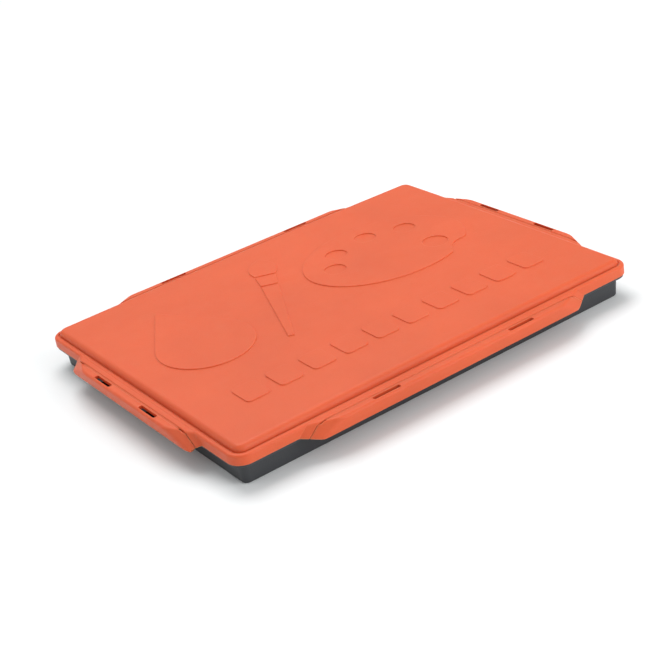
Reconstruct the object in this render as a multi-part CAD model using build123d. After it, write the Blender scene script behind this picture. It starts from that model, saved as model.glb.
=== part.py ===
from build123d import *
import math
import os

# Wet palette: a shallow lidded tray that holds a damp foam sheet under a sheet of palette paper.
# Millimetres, +Z up. X runs along the long side, Y along the short side, and the underside of the
# tray is at Z = 0. "Inset" is a distance inwards from the outer face of the rim, "out" outwards.

# Driving dimensions
RIM_LENGTH = 208.0
RIM_WIDTH = 157.0
RIM_RADIUS = 6.9
SMALLEST_RADIUS = 1.0

# How far a cutting block reaches past the surface that it cuts, and an overlap of joined blocks
BEYOND = 1.0
HAIR = 0.01

# Tray
TRAY_TOP = 10.85
TRAY_FOOT_INSET = 4.2
TRAY_NECK_INSET = 3.6
TRAY_WALL = 2.0
TRAY_FLOOR = 2.0
TRAY_FOOT_FILLET = 1.1
TRAY_INNER_FILLET = 0.9
FLANGE_THICKNESS = 1.0
FLANGE_INSET = 0.5
SEAL_RIB_INSET = 2.5
SEAL_RIB_WIDTH = 1.6
SEAL_RIB_TOP = 12.3
UNDERSIDE_RECESS = 0.5
UNDERSIDE_BORDER = 6.0

# Lugs on the tray's flange, one behind each slot of the wings
LUG_OUT = 2.0
LUG_THICKNESS = 1.25
LUG_EXTRA_LENGTH = 2.0
LUG_ROUND = 0.6

# Lid
LID_GAP = 0.15
RIM_BOTTOM = TRAY_TOP + LID_GAP
LEDGE_TOP = 15.4
LEDGE_WIDTH = 2.7
LEDGE_ROUND = 1.1
GROOVE_WIDTH = 0.9
GROOVE_DEPTH = 0.5
CROWN_TOP = 18.6
CROWN_SPHERE = 9000.0
PLATE_ROUND = 2.3
PLATE_THICKNESS = 1.9
RIM_WALL = 1.6
CHANNEL_TOP = 13.8
CHANNEL_INNER_INSET = 4.6
SKIRT_THICKNESS = 1.2
SKIRT_BOTTOM = 11.6

# Raised decoration on the lid: a drop, a brush and a palette over a row of swatches
MOTIF_HEIGHT = 0.5
MOTIF_ROUND = 0.25
MOTIF_ROOT = 1.2
DROP_SIZE = (44.0, 66.0)
DROP_AT = (-64.0, 6.0)
BRUSH_LENGTH = 84.0
HANDLE_END_HALF = 1.4
NECK_HALF = 4.0
FERRULE_HALF = 5.0
FERRULE_FROM = 10.5
FERRULE_TO = 21.8
BRUSH_GAP = 1.6
BELLY = (6.8, 30.7)
BRUSH_AT = (-19.0, 20.0)
BRUSH_TURN = -24.0
PALETTE_SIZE = (84.0, 62.0)
PALETTE_AT = (42.0, 17.0)
THUMB_HOLE_AT = (20.2, -12.4)
THUMB_HOLE_RADIUS = 6.2
NOTCH_AT = (30.2, -31.0)
NOTCH_RADIUS = 11.8
NOTCH_ROUND = 3.1
WELL_OVAL = (27.7, 18.6)
WELL_ANGLES = (40, 85, 130, 175)
WELL_RADIUS = 5.3
SWATCH_COUNT = 10
SWATCH_SIZE = (11.5, 14.0)
SWATCH_SPACING = 16.4
SWATCH_ROUND = 2.2
SWATCH_Y = -44.0

# Seal
SEAL_INSET = 1.75
SEAL_WIDTH = 2.6
SEAL_BOTTOM = 12.6
SEAL_ROUND = 0.35

# Film hinges and locking wings
WING_TOP = 15.2
WING_BOTTOM = 8.8
WING_WALL = 1.5
WING_OUT = 6.5
WING_LEAN = 1.6
WING_ROUND = 1.2
WING_CORNER_ROUND = 3.0
WING_INNER_OUT = 2.05
END_RISE = 2.2
BEYOND_ENDS = 5.0
SHELF_OUT = 1.8
SHELF_ROOT = 1.0
HINGE_OUT = 2.2
WEB_WIDTH = 0.8
WEB_TOP = 14.9
WEB_THICKNESS = 0.3
WEB_TRENCH = 1.0
WEB_END_GAP = 1.5
HINGE_PLAY = 0.05
LIP_BEVEL = 0.3
HOOK_TOP = 9.5
HOOK_GAP = 0.3
HOOK_OUT = 4.1
HOOK_SHORTER = 1.0
HOOK_NOSE = 0.45
SLOT_IN = 3.1
SLOT_WIDTH = 2.1
SLOT_ROUND = 0.7

# For each pair of sides, half lengths of a wing: its top where it meets the rim and at its outer
# edge, then the same two at its bottom. Then the middle and the length of its two slots.
LONG_SIDE = {"root": 71.0, "tip": 57.0, "low_root": 78.0, "low_tip": 67.5,
             "slot_at": 35.5, "slot_length": 13.5}
SHORT_SIDE = {"root": 48.0, "tip": 33.0, "low_root": 55.5, "low_tip": 50.0,
              "slot_at": 19.0, "slot_length": 13.0}

# Contents
FOAM_THICKNESS = 5.0
FOAM_GAP = 1.2
PAPER_THICKNESS = 0.2
PAPER_MARGIN = 1.5


def rounded(inset):
    """Rounded rectangle, parallel to the rim's outline and this far inside it."""
    radius = max(RIM_RADIUS - inset, SMALLEST_RADIUS)
    return RectangleRounded(RIM_LENGTH - 2 * inset, RIM_WIDTH - 2 * inset, radius)


def slab(inset, bottom, top):
    """Block with the rim's outline, this far inside it, between two heights."""
    return Pos(0, 0, bottom) * extrude(rounded(inset), top - bottom)


def ring(inset, width, bottom, top):
    """Closed band that follows the rim's outline."""
    return slab(inset, bottom, top) - slab(inset + width, bottom - BEYOND, top + BEYOND)


def sides():
    """The four sides: name, turn about Z, distance from the middle to the rim, and layout."""
    return [
        ("front", 0, RIM_WIDTH / 2, LONG_SIDE),
        ("right", 90, RIM_LENGTH / 2, SHORT_SIDE),
        ("back", 180, RIM_WIDTH / 2, LONG_SIDE),
        ("left", 270, RIM_LENGTH / 2, SHORT_SIDE),
    ]


def on_side(shape, turn, reach):
    """Place a shape drawn along X, with its outside towards -Y and the rim's face at Y = 0."""
    return Rot(0, 0, turn) * Pos(0, -reach, 0) * shape


def block(x_mid, x_size, y_from, y_to, z_from, z_to):
    """Box given by its middle along X and its limits in Y and Z."""
    size = (x_size, abs(y_to - y_from), z_to - z_from)
    return Pos(x_mid, (y_from + y_to) / 2, (z_from + z_to) / 2) * Box(*size)


def base_tray():
    foot = rounded(TRAY_FOOT_INSET)
    neck = Pos(0, 0, TRAY_TOP) * rounded(TRAY_NECK_INSET)
    body = loft([foot, neck])
    body = fillet(body.faces().sort_by(Axis.Z)[0].edges(), TRAY_FOOT_FILLET)
    body += slab(FLANGE_INSET, TRAY_TOP - FLANGE_THICKNESS, TRAY_TOP)
    body += ring(SEAL_RIB_INSET, SEAL_RIB_WIDTH, TRAY_TOP, SEAL_RIB_TOP)
    hollow_foot = Pos(0, 0, TRAY_FLOOR) * rounded(TRAY_FOOT_INSET + TRAY_WALL)
    hollow_neck = Pos(0, 0, TRAY_TOP + HAIR) * rounded(TRAY_NECK_INSET + TRAY_WALL)
    hollow = loft([hollow_foot, hollow_neck])
    body -= fillet(hollow.faces().sort_by(Axis.Z)[0].edges(), TRAY_INNER_FILLET)
    body -= slab(TRAY_FOOT_INSET + UNDERSIDE_BORDER, -BEYOND, UNDERSIDE_RECESS)
    for _, turn, reach, layout in sides():
        for sign in (-1, 1):
            lug = block(sign * layout["slot_at"], layout["slot_length"] + LUG_EXTRA_LENGTH,
                        FLANGE_INSET + BEYOND, -LUG_OUT, TRAY_TOP - LUG_THICKNESS, TRAY_TOP)
            lug = fillet(lug.edges().filter_by(Axis.Z).sort_by(Axis.Y)[:2], LUG_ROUND)
            body += on_side(lug, turn, reach)
    return body


def drop_outline(width, height):
    """Water drop: a round foot with two sides that close to a point."""
    r = width / 2
    tip = Vector(0, height - r)
    half_angle = math.asin(r / tip.Y)
    touch = Vector(r * math.cos(half_angle), r * math.sin(half_angle))
    left_touch = Vector(-touch.X, touch.Y)
    foot = ThreePointArc(touch, Vector(0, -r), left_touch)
    return make_face([foot, Line(left_touch, tip), Line(tip, touch)])


def palette_outline():
    """Painter's palette: an oval board with a thumb hole, a notch in its edge and four wells."""
    width, height = PALETTE_SIZE
    board = Ellipse(width / 2, height / 2)
    board -= Pos(*THUMB_HOLE_AT) * Circle(THUMB_HOLE_RADIUS)
    board -= Pos(*NOTCH_AT) * Circle(NOTCH_RADIUS)
    notch_corners = [v for v in board.vertices() if v.Y < NOTCH_AT[1] + NOTCH_RADIUS]
    board = fillet(notch_corners, NOTCH_ROUND)
    for degrees in WELL_ANGLES:
        x = WELL_OVAL[0] * math.cos(math.radians(degrees))
        y = WELL_OVAL[1] * math.sin(math.radians(degrees))
        board -= Pos(x, y) * Circle(WELL_RADIUS)
    return board


def brush_outlines():
    """Paintbrush along Y in three pads: tapered handle, ferrule and pointed hairs."""
    half = BRUSH_LENGTH / 2
    handle = Polyline((-HANDLE_END_HALF, -half), (HANDLE_END_HALF, -half), (NECK_HALF, FERRULE_FROM),
                      (-NECK_HALF, FERRULE_FROM), close=True)
    neck = FERRULE_FROM + BRUSH_GAP
    ferrule = Polyline((-NECK_HALF, neck), (NECK_HALF, neck), (FERRULE_HALF, FERRULE_TO),
                       (-FERRULE_HALF, FERRULE_TO), close=True)
    root = FERRULE_TO + BRUSH_GAP
    right = Spline((FERRULE_HALF, root), BELLY, (0, half))
    left = Spline((0, half), (-BELLY[0], BELLY[1]), (-FERRULE_HALF, root))
    hairs = [Line((-FERRULE_HALF, root), (FERRULE_HALF, root)), right, left]
    return [make_face(handle), make_face(ferrule), make_face(hairs)]


def motif_faces():
    faces = [Pos(*DROP_AT) * drop_outline(*DROP_SIZE), Pos(*PALETTE_AT) * palette_outline()]
    for face in brush_outlines():
        faces.append(Pos(*BRUSH_AT) * Rot(0, 0, BRUSH_TURN) * face)
    for k in range(SWATCH_COUNT):
        x = (k - (SWATCH_COUNT - 1) / 2) * SWATCH_SPACING
        faces.append(Pos(x, SWATCH_Y) * RectangleRounded(*SWATCH_SIZE, SWATCH_ROUND))
    return faces


def crown(raise_by):
    """Large ball whose top is the lid's slightly domed face, with its poles turned to the sides."""
    return Pos(0, 0, CROWN_TOP + raise_by - CROWN_SPHERE) * Rot(90, 0, 0) * Sphere(CROWN_SPHERE)


def lid_shell():
    rim = slab(0, RIM_BOTTOM, LEDGE_TOP)
    rim = fillet(rim.faces().sort_by(Axis.Z)[-1].edges(), LEDGE_ROUND)
    plate = slab(LEDGE_WIDTH, RIM_BOTTOM, CROWN_TOP + BEYOND) & crown(0)
    plate = fillet(plate.faces().sort_by(Axis.Z)[-1].edges(), PLATE_ROUND)
    shell = rim + plate
    shell -= ring(LEDGE_WIDTH - GROOVE_WIDTH, GROOVE_WIDTH, LEDGE_TOP - GROOVE_DEPTH, LEDGE_TOP + BEYOND)
    for _, turn, reach, layout in sides():
        shell += on_side(hinge_shelf(layout), turn, reach)
    shell -= ring(RIM_WALL, CHANNEL_INNER_INSET - RIM_WALL, RIM_BOTTOM - BEYOND, CHANNEL_TOP)
    inner = CHANNEL_INNER_INSET + SKIRT_THICKNESS
    shell -= slab(inner, RIM_BOTTOM - BEYOND, CROWN_TOP) & crown(-PLATE_THICKNESS)
    shell -= slab(CHANNEL_INNER_INSET - HAIR, RIM_BOTTOM - BEYOND, SKIRT_BOTTOM)
    for face in motif_faces():
        pad = Pos(0, 0, CROWN_TOP - MOTIF_ROOT) * extrude(face, MOTIF_ROOT + MOTIF_HEIGHT + BEYOND)
        pad = pad & crown(MOTIF_HEIGHT)
        shell += fillet(pad.faces().sort_by(Axis.Z)[-1].outer_wire().edges(), MOTIF_ROUND)
    return shell


def lid_seal():
    seal = ring(SEAL_INSET, SEAL_WIDTH, SEAL_BOTTOM, CHANNEL_TOP)
    return fillet(seal.faces().sort_by(Axis.Z)[0].edges(), SEAL_ROUND)


def wing_section(layout, height, wall):
    """Plan of a wing at this height, this far inside its outer faces and reaching in under the lid."""
    drop = (WING_TOP - height) / (WING_TOP - WING_BOTTOM)
    root = layout["root"] + (layout["low_root"] - layout["root"]) * drop
    tip = layout["tip"] + (layout["low_tip"] - layout["tip"]) * drop
    out = WING_OUT - WING_LEAN * drop
    slant = (root - tip) / out
    root -= wall * math.hypot(1, slant)
    out -= wall
    tip = root - slant * out
    outline = Polyline((-root, WING_OUT), (-root, 0), (-tip, -out), (tip, -out), (root, 0),
                       (root, WING_OUT), close=True)
    return Pos(0, 0, height) * make_face(outline)


def end_trim(layout, sign):
    """What is cut off under a wing's end: its lower edge rises from the outer corner to the rim."""
    corner_out = WING_OUT - WING_LEAN
    reach = layout["low_root"] - layout["low_tip"] + BEYOND_ENDS
    rise = END_RISE / corner_out
    profile = Polyline((-corner_out, WING_BOTTOM), (reach, WING_BOTTOM + rise * (reach + corner_out)),
                       (reach, WING_BOTTOM - BEYOND), (-corner_out, WING_BOTTOM - BEYOND), close=True)
    wedge = extrude(Plane.YZ * make_face(profile), reach)
    start = layout["low_tip"] if sign > 0 else -layout["low_tip"] - reach
    return Pos(start, 0, 0) * wedge


def wing_form(layout):
    """Hollow form that a wing and its shelf are cut from: slanted ends and a leaning face."""
    form = loft([wing_section(layout, WING_BOTTOM, 0), wing_section(layout, WING_TOP, 0)], ruled=True)
    corners = [e for e in form.edges() if e.center().Y < -WING_OUT / 2 and abs((e % 0.5).Z) > HAIR]
    form = fillet(corners, WING_CORNER_ROUND)
    form = fillet(form.faces().sort_by(Axis.Z)[-1].edges(), WING_ROUND)
    form -= loft([wing_section(layout, WING_BOTTOM - BEYOND, WING_WALL),
                  wing_section(layout, WING_TOP - WING_WALL, WING_WALL)], ruled=True)
    for sign in (-1, 1):
        form -= end_trim(layout, sign)
    return form


def lip_bevel(y, length):
    """Square bar turned on its edge, to bevel a top edge of the hinge line."""
    side = LIP_BEVEL * math.sqrt(2)
    return Pos(0, y, WING_TOP) * Rot(45, 0, 0) * Box(length, side, side)


def full_length(layout):
    """Length of a cutting block that reaches past both ends of a wing."""
    return 2 * (layout["low_root"] + BEYOND_ENDS)


def hinge_shelf(layout):
    """Fixed part outside the rim: the shelf that carries the film hinge, and the roots of the ends."""
    length = full_length(layout)
    shelf = wing_form(layout) & block(0, length, SHELF_ROOT, -SHELF_OUT, WING_BOTTOM, WING_TOP)
    return shelf - lip_bevel(-SHELF_OUT, length)


def wing(layout):
    inner_edge = HINGE_OUT + WEB_WIDTH / 2 + HINGE_PLAY
    length = full_length(layout)
    shape = wing_form(layout) & block(0, length, -WING_INNER_OUT, -WING_OUT - BEYOND, WING_BOTTOM, WING_TOP)
    shape -= block(0, length, 0, -inner_edge, WING_TOP - WEB_TRENCH, WING_TOP + BEYOND)
    shape -= lip_bevel(-inner_edge, length)
    for sign in (-1, 1):
        middle = sign * layout["slot_at"]
        slot = block(middle, layout["slot_length"], -SLOT_IN, -SLOT_IN - SLOT_WIDTH,
                     WING_TOP - WING_WALL - BEYOND, WING_TOP + BEYOND)
        shape -= fillet(slot.edges().filter_by(Axis.Z), SLOT_ROUND)
        hook = block(middle, layout["slot_length"] - HOOK_SHORTER, -LUG_OUT - HOOK_GAP, -HOOK_OUT,
                     WING_BOTTOM, HOOK_TOP)
        nose = hook.edges().filter_by(Axis.X).group_by(Axis.Y)[-1].sort_by(Axis.Z)[0]
        shape += chamfer(nose, HOOK_NOSE)
    return shape


def hinge_web(layout):
    """Thin film that joins a wing to the shelf and bends when the wing opens."""
    outer_edge = HINGE_OUT + WEB_WIDTH / 2
    slant = (layout["root"] - layout["tip"]) / WING_OUT
    half = layout["root"] - slant * outer_edge - WEB_END_GAP
    return block(0, 2 * half, -HINGE_OUT + WEB_WIDTH / 2, -outer_edge, WEB_TOP - WEB_THICKNESS, WEB_TOP)


def foam_sheet():
    inset = TRAY_FOOT_INSET + TRAY_WALL + FOAM_GAP
    return slab(inset, TRAY_FLOOR, TRAY_FLOOR + FOAM_THICKNESS)


def palette_paper():
    inset = TRAY_FOOT_INSET + TRAY_WALL + FOAM_GAP + PAPER_MARGIN
    bottom = TRAY_FLOOR + FOAM_THICKNESS
    return slab(inset, bottom, bottom + PAPER_THICKNESS)


def save(shape, node):
    solids = shape.solids()
    export_step(solids[0] if len(solids) == 1 else Compound(children=solids), f"parts/{node}.step")


os.makedirs("parts", exist_ok=True)
save(base_tray(), "base_tray")
save(foam_sheet(), "foam_sheet")
save(palette_paper(), "palette_paper")
save(lid_shell(), "lid_shell")
save(lid_seal(), "lid_seal")
for side, turn, reach, layout in sides():
    save(on_side(wing(layout), turn, reach), f"wing_{side}")
    save(on_side(hinge_web(layout), turn, reach), f"hinge_web_{side}")
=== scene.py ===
import math

import bmesh
import bpy
from mathutils import Matrix, Vector, noise


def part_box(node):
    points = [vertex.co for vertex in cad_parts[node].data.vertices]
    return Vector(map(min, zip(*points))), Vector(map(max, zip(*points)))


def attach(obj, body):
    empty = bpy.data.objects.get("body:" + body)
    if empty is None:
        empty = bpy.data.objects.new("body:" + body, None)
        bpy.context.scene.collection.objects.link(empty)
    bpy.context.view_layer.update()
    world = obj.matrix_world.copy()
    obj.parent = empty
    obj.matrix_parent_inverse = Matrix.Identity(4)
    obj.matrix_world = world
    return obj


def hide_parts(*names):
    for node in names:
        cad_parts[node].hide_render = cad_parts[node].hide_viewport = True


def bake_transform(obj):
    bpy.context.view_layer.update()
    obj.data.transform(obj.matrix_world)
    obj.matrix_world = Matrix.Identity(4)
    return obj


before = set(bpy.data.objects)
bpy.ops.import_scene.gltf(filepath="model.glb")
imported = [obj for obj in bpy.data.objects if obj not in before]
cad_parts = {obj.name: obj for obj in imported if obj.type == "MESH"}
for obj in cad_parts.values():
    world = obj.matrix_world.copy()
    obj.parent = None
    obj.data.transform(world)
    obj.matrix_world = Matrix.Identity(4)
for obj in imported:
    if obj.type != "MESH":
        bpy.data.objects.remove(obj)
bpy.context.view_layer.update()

MM = 0.001
SIDES = ("front", "right", "back", "left")

# Camera: angles in degrees, distances in metres, lens and sensor in millimetres
CAMERA_AZIMUTH = -31.9
CAMERA_ELEVATION = 27.1
CAMERA_ROLL = -9.35
CAMERA_DISTANCE = 0.646
CAMERA_AIM = (-0.0142, -0.0160, 0.010)
CAMERA_LENS = 80.8
CAMERA_SENSOR = 36
CAMERA_NEAREST = 0.01
CAMERA_FARTHEST = 50

# Light: white world, and for each area light its azimuth and elevation in degrees, its distance
# and size in metres, and its power in watts
WHITE = (1, 1, 1, 1)
WORLD_STRENGTH = 0.50
AREA_LIGHTS = {
    "key": (165, 66, 1.2, 0.9, 10),
    "front": (25, 22, 1.3, 1.0, 10.5),
    "side": (-115, 35, 1.4, 0.8, 2),
}

# Floor
FLOOR_SIZE = 20.0
FLOOR_COLOUR = (0.875, 0.900, 0.905)
FLOOR_ROUGHNESS = 0.7
FLOOR_SPECULAR = 0.2

# Colours, linear
ORANGE = (0.665, 0.110, 0.039)
# The lighter colours below are real wear on scuffs, and along sharp edges partly wear and partly a
# painted highlight
ORANGE_WEAR_AND_EDGE_HIGHLIGHT = (0.93, 0.32, 0.17)
CHARCOAL = (0.034, 0.036, 0.040)
CHARCOAL_WEAR_AND_EDGE_HIGHLIGHT = (0.13, 0.13, 0.14)
SILICONE = (0.50, 0.51, 0.50)
SILICONE_DUST = (0.8, 0.8, 0.78)
FOAM_CREAM = (0.80, 0.72, 0.46)
PARCHMENT = (0.82, 0.81, 0.76)
PARCHMENT_WET = (0.73, 0.70, 0.58)

# Patterns. A size is how far across a blotch is. A band is the pair of levels between which a
# pattern goes from none to full. A shade multiplies a colour, and shades are the two it runs
# between. A depth is how far a bump seems to stand out, and its bump is the strength of that.
WIDE_BAND = (0.3, 0.7)

# Moulded plastic
PLASTIC_IOR = 1.49
CLOUD_SIZE = 45 * MM
CLOUD_SHADES = (0.95, 1.04)
CLOUD_DEPTH = 0.10 * MM
CLOUD_BUMP = 0.35
FLECK_SIZE = 1.2 * MM
FLECK_BAND = (0.58, 0.76)
FLECK_AMOUNT = 0.40
FLECK_SHADE = 0.80
HANDLED_SIZE = 18 * MM
HANDLED_GLOSS = 0.05
EDGE_RADIUS = 0.32 * MM
EDGE_SAMPLES = 6
EDGE_BAND = (0.995, 0.80)
# Sharp edges are coloured lighter by these amounts: partly wear, partly a painted highlight
EDGE_WEAR_BAND = (0.35, 0.65)
EDGE_WEAR_AND_HIGHLIGHT = (0.20, 0.75)
WORN_ROUGHNESS = 0.25
SKIN_RADIUS = (1.0, 0.35, 0.2)
SKIN_DEPTH = 1.6 * MM

# Scuffs: for each direction its turn in radians, its spacing and its strength
SCUFF_DIRECTIONS = ((0.5, 0.25 * MM, 0.5), (2.1, 0.3 * MM, 0.4))
SCUFF_LENGTH = 40
SCUFF_BAND = (0.70, 0.76)
SCUFF_PATCH_SIZE = 35 * MM
SCUFF_PATCH_BAND = (0.48, 0.66)
SCUFF_WEAR = 0.30

# Silicone
SILICONE_CLOUD_SIZE = 12 * MM
SILICONE_SHADES = (0.92, 1.06)
SILICONE_ROUGHNESS = (0.32, 0.45)
SILICONE_TRANSLUCENCY = 0.25
SILICONE_SCATTER = (1, 1, 1)
SILICONE_SCATTER_DEPTH = 1.0 * MM
DUST_SIZE = 0.5 * MM
DUST_BAND = (0.66, 0.76)
DUST_AMOUNT = 0.5
DUST_DEPTH = 0.02 * MM
DUST_BUMP = 0.5

# Foam's look
LARGE_PORE = 1.5 * MM
SMALL_PORE = 0.55 * MM
PORE_BAND = (0.15, 0.55)
SMALL_PORE_LIGHT = (0.55, 1.0)
# The pores' insides are coloured darker by this shade: a painted shade where shadow falls in them
PORE_PAINTED_SHADE = 0.42
PORE_DEPTH = 0.35 * MM
PORE_BUMP = 0.8
FOAM_DAMP_SIZE = 40 * MM
FOAM_DAMP_BAND = (0.35, 0.65)
FOAM_SHADES = (0.86, 1.05)
FOAM_ROUGHNESS = (0.95, 0.78)
FOAM_SPECULAR = 0.25

# Paper's look: for each set of fibres its stretch, its turn in radians and its size
FIBRE_SETS = (((1, 3.5, 1), 0.4, 2.2 * MM), ((3.5, 1, 1), -0.3, 1.6 * MM))
FIBRE_SHARE = 0.5
FELT_BAND = (0.38, 0.62)
FELT_SHADES = (0.88, 1.07)
FELT_DEPTH = 0.05 * MM
FELT_BUMP = 0.5
PAPER_DAMP_SIZE = 28 * MM
PAPER_DAMP_BAND = (0.46, 0.60)
PAPER_DAMP_AMOUNT = 0.45
PAPER_GLOSS_BAND = (0.40, 0.62)
PAPER_ROUGHNESS = (0.50, 0.34)
PAPER_TRANSLUCENCY = 0.12
PAPER_SCATTER = (1, 1, 0.8)
PAPER_SCATTER_DEPTH = 0.8 * MM

# Film hinges: how far each strip reaches into the shelf and into the wing, its cells, and how much
# thinner each face is in its middle
STRIP_OVERLAP = 0.22 * MM
STRIP_ACROSS = 14
STRIP_ALONG = 24
STRIP_DIP = 0.06 * MM

# Foam's shape: two sizes of unevenness on a rounded slab
FOAM_VOXEL = 1.3 * MM
FOAM_EDGE_ROUND = 0.8 * MM
FOAM_EDGE_SEGMENTS = 3
FOAM_UNEVEN = 0.16 * MM
FOAM_FINE = 1.7 * MM
FOAM_COARSE = 9 * MM

# Paper's shape: long waves and short ripples, each with its size along and across the sheet and a
# place of its own in the noise
PAPER_CELL = 1.6 * MM
PAPER_THICKNESS = 0.10 * MM
PAPER_ABOVE_FOAM = 0.05 * MM
PAPER_WAVE = 0.45 * MM
PAPER_WAVE_FLOOR = 0.45
WAVE_SIZE = (34 * MM, 26 * MM)
WAVE_PLACE = 0.3
RIPPLE_SIZE = (11 * MM, 15 * MM)
RIPPLE_PLACE = 4.7
RIPPLE_SHARE = 0.3
PAPER_CURL = 0.35 * MM
CORNER_SHARPNESS = 7


# ---------------------------------------------------------------- camera, light and floor

def direction(azimuth, elevation):
    """Unit vector from the object towards a viewer; azimuth 0 looks along +Y."""
    a, e = math.radians(azimuth), math.radians(elevation)
    return Vector((math.sin(a) * math.cos(e), -math.cos(a) * math.cos(e), math.sin(e)))


def add_object(name, data):
    item = bpy.data.objects.new(name, data)
    bpy.context.scene.collection.objects.link(item)
    return item


def make_camera():
    data = bpy.data.cameras.new("camera")
    data.lens = CAMERA_LENS
    data.sensor_width = CAMERA_SENSOR
    data.clip_start = CAMERA_NEAREST
    data.clip_end = CAMERA_FARTHEST
    camera = add_object("camera", data)
    back = direction(CAMERA_AZIMUTH, CAMERA_ELEVATION)
    camera.location = Vector(CAMERA_AIM) + back * CAMERA_DISTANCE
    roll = Matrix.Rotation(math.radians(CAMERA_ROLL), 3, "Z")
    camera.rotation_euler = ((-back).to_track_quat("-Z", "Y").to_matrix() @ roll).to_euler()
    bpy.context.scene.camera = camera


def area_light(name, azimuth, elevation, distance, size, power):
    """Square soft light that faces the frame's origin from a direction."""
    data = bpy.data.lights.new(name, "AREA")
    data.shape = "SQUARE"
    data.size = size
    data.energy = power
    light = add_object(name, data)
    towards = direction(azimuth, elevation)
    light.location = towards * distance
    light.rotation_euler = (-towards).to_track_quat("-Z", "Y").to_euler()


def make_light():
    world = bpy.data.worlds.new("world")
    world.use_nodes = True
    background = world.node_tree.nodes["Background"]
    background.inputs["Color"].default_value = WHITE
    background.inputs["Strength"].default_value = WORLD_STRENGTH
    bpy.context.scene.world = world
    bpy.context.scene.view_settings.view_transform = "Standard"
    for name, settings in AREA_LIGHTS.items():
        area_light(name, *settings)


# ---------------------------------------------------------------- material helpers

def new_material(name):
    material = bpy.data.materials.new(name)
    material.use_nodes = True
    return material, material.node_tree, material.node_tree.nodes["Principled BSDF"]


def add_node(tree, kind, settings=None, inputs=None):
    """Adds a node. Each input is a plain value, or an output socket to link from."""
    node = tree.nodes.new(kind)
    for key, value in (settings or {}).items():
        setattr(node, key, value)
    for key, value in (inputs or {}).items():
        if isinstance(value, bpy.types.NodeSocket):
            tree.links.new(value, node.inputs[key])
        else:
            node.inputs[key].default_value = value
    return node


def object_coordinates(tree, stretch=(1, 1, 1), turn=0.0):
    coordinates = tree.nodes.new("ShaderNodeTexCoord").outputs["Object"]
    inputs = {"Vector": coordinates, "Scale": stretch, "Rotation": (0, 0, turn)}
    return add_node(tree, "ShaderNodeMapping", inputs=inputs).outputs["Vector"]


def noise_value(tree, vector, size, detail=3.0, roughness=0.55):
    """Noise from 0 to 1 whose blotches are about this many metres across."""
    inputs = {"Vector": vector, "Scale": 1 / size, "Detail": detail, "Roughness": roughness}
    return add_node(tree, "ShaderNodeTexNoise", inputs=inputs).outputs["Fac"]


def remap(tree, value, band, to=(0.0, 1.0)):
    """Value at the band's ends turned into the two values in to, and held between them."""
    inputs = {"Value": value, "From Min": band[0], "From Max": band[1],
              "To Min": to[0], "To Max": to[1]}
    return add_node(tree, "ShaderNodeMapRange", inputs=inputs).outputs["Result"]


def calculate(tree, operation, first, second):
    node = add_node(tree, "ShaderNodeMath", {"operation": operation}, {0: first, 1: second})
    return node.outputs[0]


def blend_colour(tree, factor, first, second):
    """Mix of two colours, each a plain colour or a socket."""
    node = add_node(tree, "ShaderNodeMix", {"data_type": "RGBA"}, {"Factor": factor})
    for key, value in (("A", first), ("B", second)):
        socket = next(s for s in node.inputs if s.name == key and s.type == "RGBA")
        if isinstance(value, bpy.types.NodeSocket):
            tree.links.new(value, socket)
        else:
            socket.default_value = (*value, 1)
    return next(s for s in node.outputs if s.type == "RGBA")


def shade(colour, factor):
    return tuple(min(channel * factor, 1) for channel in colour)


def shades(tree, factor, colour, pair):
    """Colour that goes from one shade of it to another."""
    return blend_colour(tree, factor, shade(colour, pair[0]), shade(colour, pair[1]))


def bump(tree, height, depth, strength=1.0, normal=None):
    inputs = {"Height": height, "Distance": depth, "Strength": strength}
    if normal is not None:
        inputs["Normal"] = normal
    return add_node(tree, "ShaderNodeBump", inputs=inputs).outputs["Normal"]


def translucent(shader, weight, radius, depth):
    """Lets light spread under the surface, by radius for red, green and blue."""
    shader.inputs["Subsurface Weight"].default_value = weight
    shader.inputs["Subsurface Radius"].default_value = radius
    shader.inputs["Subsurface Scale"].default_value = depth


# ---------------------------------------------------------------- materials

def soft_edges(tree):
    """Normal that rounds sharp edges, and a mask that is 1 along them."""
    bevel = add_node(tree, "ShaderNodeBevel", {"samples": EDGE_SAMPLES}, {"Radius": EDGE_RADIUS})
    rounded = bevel.outputs["Normal"]
    true = tree.nodes.new("ShaderNodeNewGeometry").outputs["Normal"]
    inputs = {0: rounded, 1: true}
    likeness = add_node(tree, "ShaderNodeVectorMath", {"operation": "DOT_PRODUCT"}, inputs)
    return rounded, remap(tree, likeness.outputs["Value"], EDGE_BAND)


def scratches(tree, turn, spacing, amount):
    """Sparse fine straight scuffs in one direction, 1 on a scuff."""
    stretch = (1 / (spacing * SCUFF_LENGTH), 1 / spacing, 1 / spacing)
    vector = object_coordinates(tree, stretch, turn)
    lines = noise_value(tree, vector, size=1.0, detail=2.0, roughness=0.5)
    patches = noise_value(tree, object_coordinates(tree), SCUFF_PATCH_SIZE, detail=2.0)
    thin = remap(tree, lines, SCUFF_BAND)
    return calculate(tree, "MULTIPLY", thin, remap(tree, patches, SCUFF_PATCH_BAND, (0.0, amount)))


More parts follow.
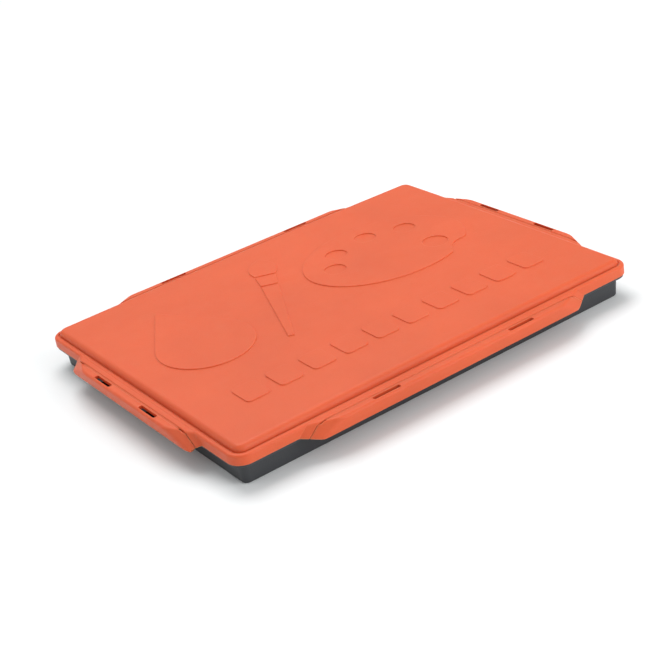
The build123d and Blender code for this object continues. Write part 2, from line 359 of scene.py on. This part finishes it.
def moulded_plastic(name, colour, wear_and_highlight_colour, roughness, specular, translucency, grain_size, grain_depth):
    """Satin moulded plastic: cloudy pigment, fine grain, and softened edges that are lightened partly
    by wear and partly by a painted highlight.
    """
    material, tree, shader = new_material(name)
    place = object_coordinates(tree)
    clouds = noise_value(tree, place, CLOUD_SIZE)
    flecks = noise_value(tree, place, FLECK_SIZE, detail=4.0, roughness=0.7)
    grain = noise_value(tree, place, grain_size, detail=2.0, roughness=0.6)
    handled = noise_value(tree, place, HANDLED_SIZE, detail=5.0, roughness=0.65)
    rounded, edge = soft_edges(tree)
    scuffs = calculate(tree, "MAXIMUM", *(scratches(tree, *kind) for kind in SCUFF_DIRECTIONS))

    pigment = shades(tree, remap(tree, clouds, WIDE_BAND), colour, CLOUD_SHADES)
    fleck_mask = remap(tree, flecks, FLECK_BAND, (0, FLECK_AMOUNT))
    speckled = blend_colour(tree, fleck_mask, pigment, shade(colour, FLECK_SHADE))
    # Lighter colour along every sharp edge: partly wear, partly a painted highlight
    edge_wear_and_highlight = calculate(tree, "MULTIPLY", edge, remap(tree, handled, EDGE_WEAR_BAND, EDGE_WEAR_AND_HIGHLIGHT))
    scuff_wear = calculate(tree, "MULTIPLY", scuffs, SCUFF_WEAR)
    wear_and_edge_highlight = calculate(tree, "MAXIMUM", edge_wear_and_highlight, scuff_wear)
    tree.links.new(blend_colour(tree, wear_and_edge_highlight, speckled, wear_and_highlight_colour), shader.inputs["Base Color"])

    gloss_range = (roughness - HANDLED_GLOSS, roughness + HANDLED_GLOSS)
    gloss = remap(tree, handled, WIDE_BAND, gloss_range)
    worn_gloss = calculate(tree, "ADD", gloss, calculate(tree, "MULTIPLY", wear_and_edge_highlight, WORN_ROUGHNESS))
    tree.links.new(worn_gloss, shader.inputs["Roughness"])
    grained = bump(tree, grain, grain_depth, normal=rounded)
    clouded = bump(tree, clouds, CLOUD_DEPTH, CLOUD_BUMP, grained)
    tree.links.new(clouded, shader.inputs["Normal"])
    shader.inputs["Specular IOR Level"].default_value = specular
    shader.inputs["IOR"].default_value = PLASTIC_IOR
    translucent(shader, translucency, SKIN_RADIUS, SKIN_DEPTH)
    return material


def silicone_material():
    """Grey, slightly translucent silicone with a little dust on it."""
    material, tree, shader = new_material("silicone")
    place = object_coordinates(tree)
    clouds = noise_value(tree, place, SILICONE_CLOUD_SIZE)
    dust = noise_value(tree, place, DUST_SIZE, roughness=0.7)
    tint = shades(tree, remap(tree, clouds, WIDE_BAND), SILICONE, SILICONE_SHADES)
    dust_mask = remap(tree, dust, DUST_BAND, (0, DUST_AMOUNT))
    dusty = blend_colour(tree, dust_mask, tint, SILICONE_DUST)
    tree.links.new(dusty, shader.inputs["Base Color"])
    gloss = remap(tree, clouds, WIDE_BAND, SILICONE_ROUGHNESS)
    tree.links.new(gloss, shader.inputs["Roughness"])
    tree.links.new(bump(tree, dust, DUST_DEPTH, DUST_BUMP), shader.inputs["Normal"])
    translucent(shader, SILICONE_TRANSLUCENCY, SILICONE_SCATTER, SILICONE_SCATTER_DEPTH)
    return material


def foam_material():
    """Open-cell foam: two sizes of pores with painted shade inside them, and matt."""
    material, tree, shader = new_material("foam")
    place = object_coordinates(tree)
    pores = []
    for size in (LARGE_PORE, SMALL_PORE):
        inputs = {"Vector": place, "Scale": 1 / size, "Randomness": 1.0}
        cells = add_node(tree, "ShaderNodeTexVoronoi", {"feature": "F1"}, inputs)
        pores.append(remap(tree, cells.outputs["Distance"], PORE_BAND))
    large, small = pores
    surface = calculate(tree, "MULTIPLY", large, remap(tree, small, (0, 1), SMALL_PORE_LIGHT))
    damp = noise_value(tree, place, FOAM_DAMP_SIZE)
    body = shades(tree, remap(tree, damp, FOAM_DAMP_BAND), FOAM_CREAM, FOAM_SHADES)
    # Painted shade: the pores are coloured darker inside, where they would be in shadow
    pores_with_painted_shade = blend_colour(tree, surface, shade(FOAM_CREAM, PORE_PAINTED_SHADE), body)
    tree.links.new(pores_with_painted_shade, shader.inputs["Base Color"])
    tree.links.new(remap(tree, surface, (0, 1), FOAM_ROUGHNESS), shader.inputs["Roughness"])
    tree.links.new(bump(tree, surface, PORE_DEPTH, PORE_BUMP), shader.inputs["Normal"])
    shader.inputs["Specular IOR Level"].default_value = FOAM_SPECULAR
    return material


def paper_material():
    """Thin siliconised parchment: cloudy fibres, damp patches and a dull sheen."""
    material, tree, shader = new_material("parchment")
    place = object_coordinates(tree)
    fibres = []
    for stretch, turn, size in FIBRE_SETS:
        vector = object_coordinates(tree, stretch, turn)
        fibres.append(noise_value(tree, vector, size, detail=6.0, roughness=0.7))
    felt = calculate(tree, "ADD", *(calculate(tree, "MULTIPLY", f, FIBRE_SHARE) for f in fibres))
    damp = noise_value(tree, place, PAPER_DAMP_SIZE, detail=4.0, roughness=0.6)
    sheet = shades(tree, remap(tree, felt, FELT_BAND), PARCHMENT, FELT_SHADES)
    damp_mask = remap(tree, damp, PAPER_DAMP_BAND, (0.0, PAPER_DAMP_AMOUNT))
    wetted = blend_colour(tree, damp_mask, sheet, PARCHMENT_WET)
    tree.links.new(wetted, shader.inputs["Base Color"])
    gloss = remap(tree, damp, PAPER_GLOSS_BAND, PAPER_ROUGHNESS)
    tree.links.new(gloss, shader.inputs["Roughness"])
    tree.links.new(bump(tree, felt, FELT_DEPTH, FELT_BUMP), shader.inputs["Normal"])
    translucent(shader, PAPER_TRANSLUCENCY, PAPER_SCATTER, PAPER_SCATTER_DEPTH)
    return material


def floor_material():
    material, _, shader = new_material("floor")
    shader.inputs["Base Color"].default_value = (*FLOOR_COLOUR, 1)
    shader.inputs["Roughness"].default_value = FLOOR_ROUGHNESS
    shader.inputs["Specular IOR Level"].default_value = FLOOR_SPECULAR
    return material


# ---------------------------------------------------------------- mesh helpers

def finish_mesh(bm, name, material, smooth=True):
    mesh = bpy.data.meshes.new(name)
    bmesh.ops.recalc_face_normals(bm, faces=bm.faces[:])
    bm.to_mesh(mesh)
    bm.free()
    for polygon in mesh.polygons:
        polygon.use_smooth = smooth
    mesh.materials.append(material)
    return add_object(name, mesh)


def grid_vertices(bm, columns, rows, place):
    """Vertices of a grid, where place(u, v) gives the point for u and v from 0 to 1."""
    return [[bm.verts.new(place(i / columns, j / rows)) for j in range(rows + 1)]
            for i in range(columns + 1)]


def apply_modifiers(piece):
    graph = bpy.context.evaluated_depsgraph_get()
    mesh = bpy.data.meshes.new_from_object(piece.evaluated_get(graph))
    piece.modifiers.clear()
    piece.data = mesh


# ---------------------------------------------------------------- pieces

def film_strip(side, material):
    """Bending film between the lid's shelf and a wing, closed all round and thinner in its middle."""
    low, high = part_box("hinge_web_" + side)
    along = 0 if side in ("front", "back") else 1
    across = 1 - along
    outwards = 1 if side in ("right", "back") else -1
    inner = min(abs(low[across]), abs(high[across])) - STRIP_OVERLAP
    outer = max(abs(low[across]), abs(high[across])) + STRIP_OVERLAP
    bm = bmesh.new()
    rings = []
    for i in range(STRIP_ALONG + 1):
        position = low[along] + (high[along] - low[along]) * i / STRIP_ALONG
        ring = []
        for level, dip in ((high[2], -STRIP_DIP), (low[2], STRIP_DIP)):
            steps = range(STRIP_ACROSS + 1)
            for k in steps if level == high[2] else reversed(steps):
                t = k / STRIP_ACROSS
                point = [0, 0, level + dip * math.sin(math.pi * t)]
                point[along] = position
                point[across] = outwards * (inner + (outer - inner) * t)
                ring.append(bm.verts.new(point))
        rings.append(ring)
    for one, two in zip(rings, rings[1:]):
        for k in range(len(one)):
            after = (k + 1) % len(one)
            bm.faces.new((one[k], one[after], two[after], two[k]))
    bm.faces.new(rings[0])
    bm.faces.new(reversed(rings[-1]))
    piece = finish_mesh(bm, "film_hinge_" + side, material)
    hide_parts("hinge_web_" + side)
    middle = (low + high) / 2
    start, end = middle.copy(), middle.copy()
    start[across] = outwards * (inner + STRIP_OVERLAP)
    end[across] = outwards * (outer - STRIP_OVERLAP)
    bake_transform(piece)


def foam_pad(material):
    """Damp foam sheet with soft, slightly uneven cut edges."""
    low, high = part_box("foam_sheet")
    bm = bmesh.new()
    bmesh.ops.create_cube(bm, size=1.0)
    bmesh.ops.scale(bm, vec=high - low, verts=bm.verts)
    bmesh.ops.translate(bm, vec=(low + high) / 2, verts=bm.verts)
    bmesh.ops.bevel(bm, geom=bm.edges[:], offset=FOAM_EDGE_ROUND, segments=FOAM_EDGE_SEGMENTS,
                    affect="EDGES", profile=0.5)
    piece = finish_mesh(bm, "damp_foam", material)
    remesh = piece.modifiers.new("remesh", "REMESH")
    remesh.mode = "VOXEL"
    remesh.voxel_size = FOAM_VOXEL
    apply_modifiers(piece)
    normals = [vertex.normal.copy() for vertex in piece.data.vertices]
    for vertex, normal in zip(piece.data.vertices, normals):
        inward = (noise.noise(vertex.co / FOAM_FINE) + noise.noise(vertex.co / FOAM_COARSE)) / 2
        vertex.co -= normal * (0.5 + 0.5 * inward) * FOAM_UNEVEN
    for polygon in piece.data.polygons:
        polygon.use_smooth = True
    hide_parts("foam_sheet")
    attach(piece, "tray")


def paper_sheet(material):
    """Palette paper, cockled by the damp and a little lifted at its corners."""
    low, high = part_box("palette_paper")
    size = high - low
    columns, rows = round(size.x / PAPER_CELL), round(size.y / PAPER_CELL)

    def place(u, v):
        x, y = low.x + size.x * u, low.y + size.y * v
        wave = noise.noise(Vector((x / WAVE_SIZE[0], y / WAVE_SIZE[1], WAVE_PLACE)))
        ripple = noise.noise(Vector((x / RIPPLE_SIZE[0], y / RIPPLE_SIZE[1], RIPPLE_PLACE)))
        cockle = max(wave + ripple * RIPPLE_SHARE + PAPER_WAVE_FLOOR, 0)
        corner = (abs(2 * u - 1) * abs(2 * v - 1)) ** CORNER_SHARPNESS
        lift = PAPER_WAVE * cockle + PAPER_CURL * corner
        return Vector((x, y, low.z + PAPER_ABOVE_FOAM + lift))

    bm = bmesh.new()
    points = grid_vertices(bm, columns, rows, place)
    for i in range(columns):
        for j in range(rows):
            bm.faces.new((points[i][j], points[i + 1][j], points[i + 1][j + 1], points[i][j + 1]))
    piece = finish_mesh(bm, "parchment_sheet", material)
    solid = piece.modifiers.new("thickness", "SOLIDIFY")
    solid.thickness = PAPER_THICKNESS
    solid.offset = 1
    apply_modifiers(piece)
    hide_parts("palette_paper")
    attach(piece, "tray")


def dress_cad_nodes(tray, lid, seal):
    """Gives each CAD node that stays visible its material, and takes them off the replaced ones."""
    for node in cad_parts.values():
        node.data.materials.clear()
    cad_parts["base_tray"].data.materials.append(tray)
    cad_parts["lid_seal"].data.materials.append(seal)
    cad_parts["lid_shell"].data.materials.append(lid)
    for side in SIDES:
        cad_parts["wing_" + side].data.materials.append(lid)


def make_floor():
    bm = bmesh.new()
    bmesh.ops.create_grid(bm, x_segments=1, y_segments=1, size=FLOOR_SIZE / 2)
    floor = finish_mesh(bm, "floor", floor_material(), smooth=False)


make_camera()
make_light()
make_floor()
orange = moulded_plastic("orange_plastic", ORANGE, ORANGE_WEAR_AND_EDGE_HIGHLIGHT, roughness=0.46, specular=0.26,
                         translucency=0.45, grain_size=0.45 * MM, grain_depth=0.060 * MM)
charcoal = moulded_plastic("charcoal_plastic", CHARCOAL, CHARCOAL_WEAR_AND_EDGE_HIGHLIGHT, roughness=0.50,
                           specular=0.45, translucency=0.0, grain_size=0.60 * MM,
                           grain_depth=0.090 * MM)
dress_cad_nodes(tray=charcoal, lid=orange, seal=silicone_material())
for side in SIDES:
    film_strip(side, orange)
foam_pad(foam_material())
paper_sheet(paper_material())
